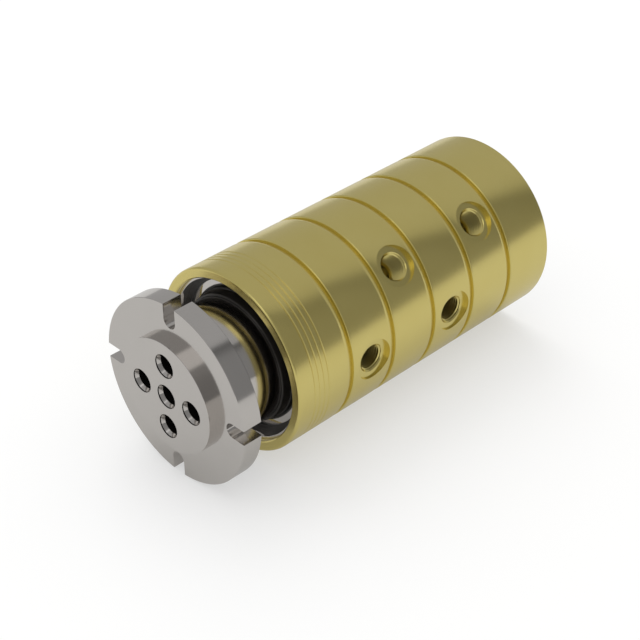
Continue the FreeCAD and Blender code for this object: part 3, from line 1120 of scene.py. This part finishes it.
@dataclass
class RearEnd:
    """The rear cover with its port and hollow stem, and the ring that holds it."""

    edge_chamfer: float = 0.8
    port_depth: float = 12.0
    bore_radius: float = 5.0
    recess_radius: float = 29.0
    recess_gap: float = 1.0
    groove_offset: float = 2.0
    groove_width: float = 3.6
    groove_depth: float = 2.2
    fit: float = 0.03
    stem_radius: float = 12.7
    stem_groove_setback: float = 2.4
    stem_groove_width: float = 3.2
    stem_groove_depth: float = 3.5
    ring_height: float = 6.0
    ring_edge: float = 0.15
    ring_gap_angle: float = 26.0
    ear_length: float = 3.5
    ear_hole: float = 2.5
    ear_sides: int = 48
    hole_sides: int = 32

    def build(self, wardrobe: Wardrobe, thread: PortThread) -> None:
        """Makes the cover, its thread and the retaining ring.

        Args:
            wardrobe: the finishes.
            thread: the thread of its ports.
        """
        low, high = box_mm("rear_cover")
        wardrobe.place(self.cover(low, high, thread), Body.HOUSING, "turned_steel", "rear_cover")
        ridge = thread.ridge("rear_port_thread", self.port_depth)
        aim(ridge, AXIS * high.y, AXIS * -1)
        wardrobe.place(ridge, Body.HOUSING, "turned_steel")
        wardrobe.place(self.ring(), Body.HOUSING, "spring_steel", "cover_retaining_ring")

    def cover(self, low: Vector, high: Vector, thread: PortThread) -> Piece:
        """Turns the cover and its stem in one piece.

        Args:
            low: the lowest corner of the cover's box.
            high: the highest corner of the cover's box.
            thread: the port's thread.

        Returns:
            The cover.
        """
        bearing = box_mm("rear_bearing_outer_ring")
        shaft_end = box_mm("shaft")[1].y
        rim = high.x
        spigot = bearing[1].x - self.fit
        front = bearing[1].y
        step = front + HousingPart.spigot_length
        rim_groove = step + self.groove_offset
        rim_floor = rim - self.groove_depth
        stem_groove = low.y + self.stem_groove_setback
        stem_floor = self.stem_radius - self.stem_groove_depth
        recess_floor = shaft_end + self.recess_gap
        return turn("ported_cover", [
            Corner(self.bore_radius, low.y), Corner(self.stem_radius, low.y),
            *groove(self.stem_radius, stem_floor, stem_groove, stem_groove + self.stem_groove_width),
            Corner(self.stem_radius, recess_floor), Corner(self.recess_radius, recess_floor),
            Corner(self.recess_radius, front), Corner(spigot, front), Corner(spigot, step),
            Corner(rim, step), *groove(rim, rim_floor, rim_groove, rim_groove + self.groove_width),
            Corner(rim, high.y - self.edge_chamfer), Corner(rim - self.edge_chamfer, high.y),
            Corner(thread.mouth_radius, high.y), Corner(thread.major_radius, high.y - thread.chamfer),
            Corner(thread.major_radius, high.y - self.port_depth),
            Corner(self.bore_radius, high.y - self.port_depth),
        ])

    def ring(self) -> Piece:
        """Makes the cover's internal retaining ring, with a gap at the top and an ear at each side of it.

        Returns:
            The ring.
        """
        low, high = box_mm("cover_retaining_ring")
        seat = HousingPart.cover_radius
        rim = seat + HousingPart.cover_groove_depth
        free = rim - self.ring_height
        edge = self.ring_edge
        ring = turn("cover_ring", [
            Corner(free, low.y + edge), Corner(free + edge, low.y), Corner(rim - edge, low.y),
            Corner(rim, low.y + edge), Corner(rim, high.y - edge), Corner(rim - edge, high.y),
            Corner(free + edge, high.y), Corner(free, high.y - edge),
        ])
        combine(ring, self.gap_tool(rim, low.y, high.y), Cut.AWAY)
        top = 90.0
        angle = self.ring_gap_angle / 2 + math.degrees(self.ear_length / seat)
        middle = (rim + free) / 2 - self.ear_hole / 2
        for side in (-1, 1):
            centre = radial(top + side * angle) * middle
            ear = cylinder("ear", self.ear_length, centre + AXIS * low.y, centre + AXIS * high.y,
                           self.ear_sides)
            combine(ring, ear, Cut.ONTO)
            hole = cylinder("ear_hole", self.ear_hole / 2, centre + AXIS * (low.y - OVERSHOOT),
                            centre + AXIS * (high.y + OVERSHOOT), self.hole_sides)
            combine(ring, hole, Cut.AWAY)
        return ring

    def gap_tool(self, rim: float, front: float, rear: float) -> Piece:
        """Draws the wedge that opens the ring at the top, from the axis, and pushes it through.

        Args:
            rim: the ring's outer radius.
            front: the ring's front on the axis.
            rear: the ring's rear on the axis.

        Returns:
            The wedge.
        """
        half = math.radians(self.ring_gap_angle / 2)
        reach = rim + OVERSHOOT * 2
        length = rear - front + OVERSHOOT * 2
        tool = start_piece("gap_tool", Vector((0, front - OVERSHOOT, 0)) * MM)
        sides = [Vector((-reach * math.sin(half), 0, reach * math.cos(half))),
                 Vector((reach * math.sin(half) * 2, 0, 0))]
        for side in sides:
            bpy.ops.mesh.extrude_region_move(TRANSFORM_OT_translate={"value": side * MM})
        bpy.ops.mesh.select_all(action="SELECT")
        bpy.ops.mesh.edge_face_add()
        bpy.ops.mesh.extrude_region_move(TRANSFORM_OT_translate={"value": AXIS * length * MM})
        close_up(tool)
        return tool


@dataclass
class Studio:
    """The photograph's camera, a white floor, a grey room that metal mirrors, and soft light."""

    camera_place: Triple = (421.400, -329.220, 412.601)
    camera_right: Triple = (0.70478095, 0.70942437, -0.00093634)
    camera_up: Triple = (-0.40827556, 0.40668194, 0.81726426)
    camera_back: Triple = (0.58016797, -0.57561, 0.57626232)
    lens: float = 87.445
    floor_size: float = 12000.0
    floor_colour: str = "#EFEFEE"
    floor_seen: float = 0.5
    floor_mirrored: float = 0.6
    floor_mirrored_colour: str = "#B3B2B0"
    lamp_place: Triple = (-1500.0, 700.0, 2000.0)
    lamp_size: float = 1800.0
    lamp_power: float = 20.0
    wall_colour: str = "#AEAEAE"
    screen_edges: tuple[tuple[float, str], ...] = (
        (-180, "#AEAEAE"), (33, "#AEAEAE"), (36, "#5A5A5A"), (41, "#6A6A6A"), (46, "#8A8A8A"),
        (125, "#8E8E8E"), (135, "#A2A2A2"), (165, "#AEAEAE"), (180, "#AEAEAE"))
    screen_top: float = 66.0
    screen_blur: float = 0.05
    softbox_way: Triple = (0.1, -0.58, 0.81)
    softbox_half_angle: float = 15.0
    softbox_blur: float = 3.0
    softbox_strength: float = 0.9
    horizon_light: float = 0.25
    zenith_light: float = 1.375

    def build(self) -> None:
        """Sets up camera, floor, room and lamp."""
        self.add_camera()
        self.add_floor()
        self.add_room()
        self.add_lamp()
        bpy.context.scene.view_settings.view_transform = "Standard"

    def add_camera(self) -> None:
        """The camera at the photograph's viewing angle."""
        deselect_all()
        bpy.ops.object.camera_add()
        camera = bpy.context.object
        turned = Matrix((self.camera_right, self.camera_up, self.camera_back)).transposed().to_4x4()
        camera.matrix_world = Matrix.Translation(Vector(self.camera_place) * MM) @ turned
        camera.data.lens = self.lens
        bpy.context.scene.camera = camera

    def add_floor(self) -> None:
        """The floor that the housing and the flange's rim touch."""
        deselect_all()
        low = box_mm("housing")[0].z
        bpy.ops.mesh.primitive_plane_add(size=self.floor_size * MM, location=(0, 0, low * MM))
        floor = bpy.context.object
        floor.name = "floor"
        material, tree = new_tree("white_paper_floor")
        path = add_node(tree, "LightPath")
        paper = add_node(tree, "BsdfDiffuse", {"Color": linear(self.floor_colour)})
        white = add_node(tree, "Emission")
        mirrored = add_node(tree, "Emission", {"Color": linear(self.floor_mirrored_colour)})
        seen = add_node(tree, "Math", {0: path.outputs["Is Camera Ray"], 1: self.floor_seen},
                        operation="MULTIPLY")
        glossy = add_node(tree, "Math", {0: self.mirrored_ray(tree, path), 1: self.floor_mirrored},
                          operation="MULTIPLY")
        lit = add_node(tree, "MixShader", {
            0: seen.outputs["Value"], 1: paper.outputs["BSDF"], 2: white.outputs["Emission"]})
        both = add_node(tree, "MixShader", {
            0: glossy.outputs["Value"], 1: lit.outputs["Shader"], 2: mirrored.outputs["Emission"]})
        add_node(tree, "OutputMaterial", {"Surface": both.outputs["Shader"]})
        floor.data.materials.append(material)

    def mirrored_ray(self, tree: Tree, path: bpy.types.Node) -> Socket:
        """Tells the rays that metal mirrors or glass lets through from the rest.

        Args:
            tree: the node tree.
            path: its Light Path node.

        Returns:
            A socket that is 1 for such a ray.
        """
        either = add_node(tree, "Math", {
            0: path.outputs["Is Glossy Ray"], 1: path.outputs["Is Transmission Ray"]}, operation="MAXIMUM")
        return either.outputs["Value"]

    def add_room(self) -> None:
        """The room: white to the camera, light from above to dull surfaces, and a grey studio to mirrors."""
        world = bpy.data.worlds.new("room")
        bpy.context.scene.world = world
        world.use_nodes = True
        tree = world.node_tree
        tree.nodes.clear()
        way = add_node(tree, "TexCoord").outputs["Generated"]
        grey = self.grey_room(tree, way)
        path = add_node(tree, "LightPath")
        parts = add_node(tree, "SeparateXYZ", {"Vector": way})
        sky = add_node(tree, "MapRange", {
            "Value": parts.outputs["Z"], "To Min": self.horizon_light, "To Max": self.zenith_light})
        level = add_node(tree, "Mix", {
            "Factor": path.outputs["Is Camera Ray"], "A": sky.outputs["Result"], "B": 1.0}, data_type="FLOAT")
        white = add_node(tree, "Background", {
            "Color": (1.0, 1.0, 1.0, 1.0), "Strength": level.outputs["Result"]})
        mirrored = add_node(tree, "Background", {"Color": grey})
        both = add_node(tree, "MixShader", {
            0: self.mirrored_ray(tree, path), 1: white.outputs["Background"],
            2: mirrored.outputs["Background"]})
        add_node(tree, "OutputWorld", {"Surface": both.outputs["Shader"]})

    def grey_room(self, tree: Tree, way: Socket) -> Socket:
        """Paints grey walls, a darker screen that stands on the right, and a softbox above the flange.

        Args:
            tree: the world's node tree.
            way: the socket with the ray's direction.

        Returns:
            The socket with the colour.
        """
        parts = add_node(tree, "SeparateXYZ", {"Vector": way})
        turned = add_node(tree, "Math", {0: parts.outputs["X"], 1: parts.outputs["Y"]},
                          operation="ARCTAN2")
        share = add_node(tree, "MapRange", {
            "Value": turned.outputs["Value"], "From Min": -math.pi, "From Max": math.pi})
        screen = add_node(tree, "ValToRGB", {"Fac": share.outputs["Result"]})
        elements = screen.color_ramp.elements
        middle = 0.5
        while len(elements) < len(self.screen_edges):
            elements.new(middle)
        for element, (angle, colour) in zip(elements, self.screen_edges):
            element.position = (angle + 180) / 360
            element.color = linear(colour)
        top = math.sin(math.radians(self.screen_top))
        above = add_node(tree, "MapRange", {
            "Value": parts.outputs["Z"], "From Min": top - self.screen_blur,
            "From Max": top + self.screen_blur})
        walls = add_node(tree, "Mix", {
            "Factor": above.outputs["Result"], "A": screen.outputs["Color"],
            "B": linear(self.wall_colour)}, data_type="RGBA")
        aimed = Vector(self.softbox_way).normalized()
        near = add_node(tree, "VectorMath", {0: way, 1: aimed}, operation="DOT_PRODUCT")
        edge = self.softbox_half_angle + self.softbox_blur
        inside = add_node(tree, "MapRange", {
            "Value": near.outputs["Value"], "From Min": math.cos(math.radians(edge)),
            "From Max": math.cos(math.radians(self.softbox_half_angle))})
        box_grey = self.softbox_strength
        both = add_node(tree, "Mix", {
            "Factor": inside.outputs["Result"], "A": walls.outputs["Result"],
            "B": (box_grey, box_grey, box_grey, 1.0)}, data_type="RGBA")
        return both.outputs["Result"]

    def add_lamp(self) -> None:
        """One wide soft lamp behind and to the left, out of the metal's mirror."""
        deselect_all()
        bpy.ops.object.light_add(type="AREA")
        lamp = bpy.context.object
        place = Vector(self.lamp_place) * MM
        lamp.location = place
        lamp.rotation_euler = place.to_track_quat("Z", "Y").to_euler()
        lamp.data.size = self.lamp_size * MM
        lamp.data.energy = self.lamp_power
        lamp.visible_glossy = False


def main() -> None:
    """Builds the union's pieces, dresses the rest of the frame and sets up the studio."""
    logging.basicConfig(level=logging.INFO, format="%(name)s: %(message)s")
    wardrobe = Wardrobe()
    thread = PortThread()
    ShaftPart().build(wardrobe)
    HousingPart().build(wardrobe, thread)
    DustSeal().build(wardrobe)
    RearEnd().build(wardrobe, thread)
    replaced = {"shaft", "housing", "dust_seal_case", "dust_seal_lip", "rear_cover", "cover_retaining_ring"}
    wardrobe.dress_frame([name for name in frame["nodes"] if name not in replaced])
    Studio().build()


if __name__ == "__main__":
    main()
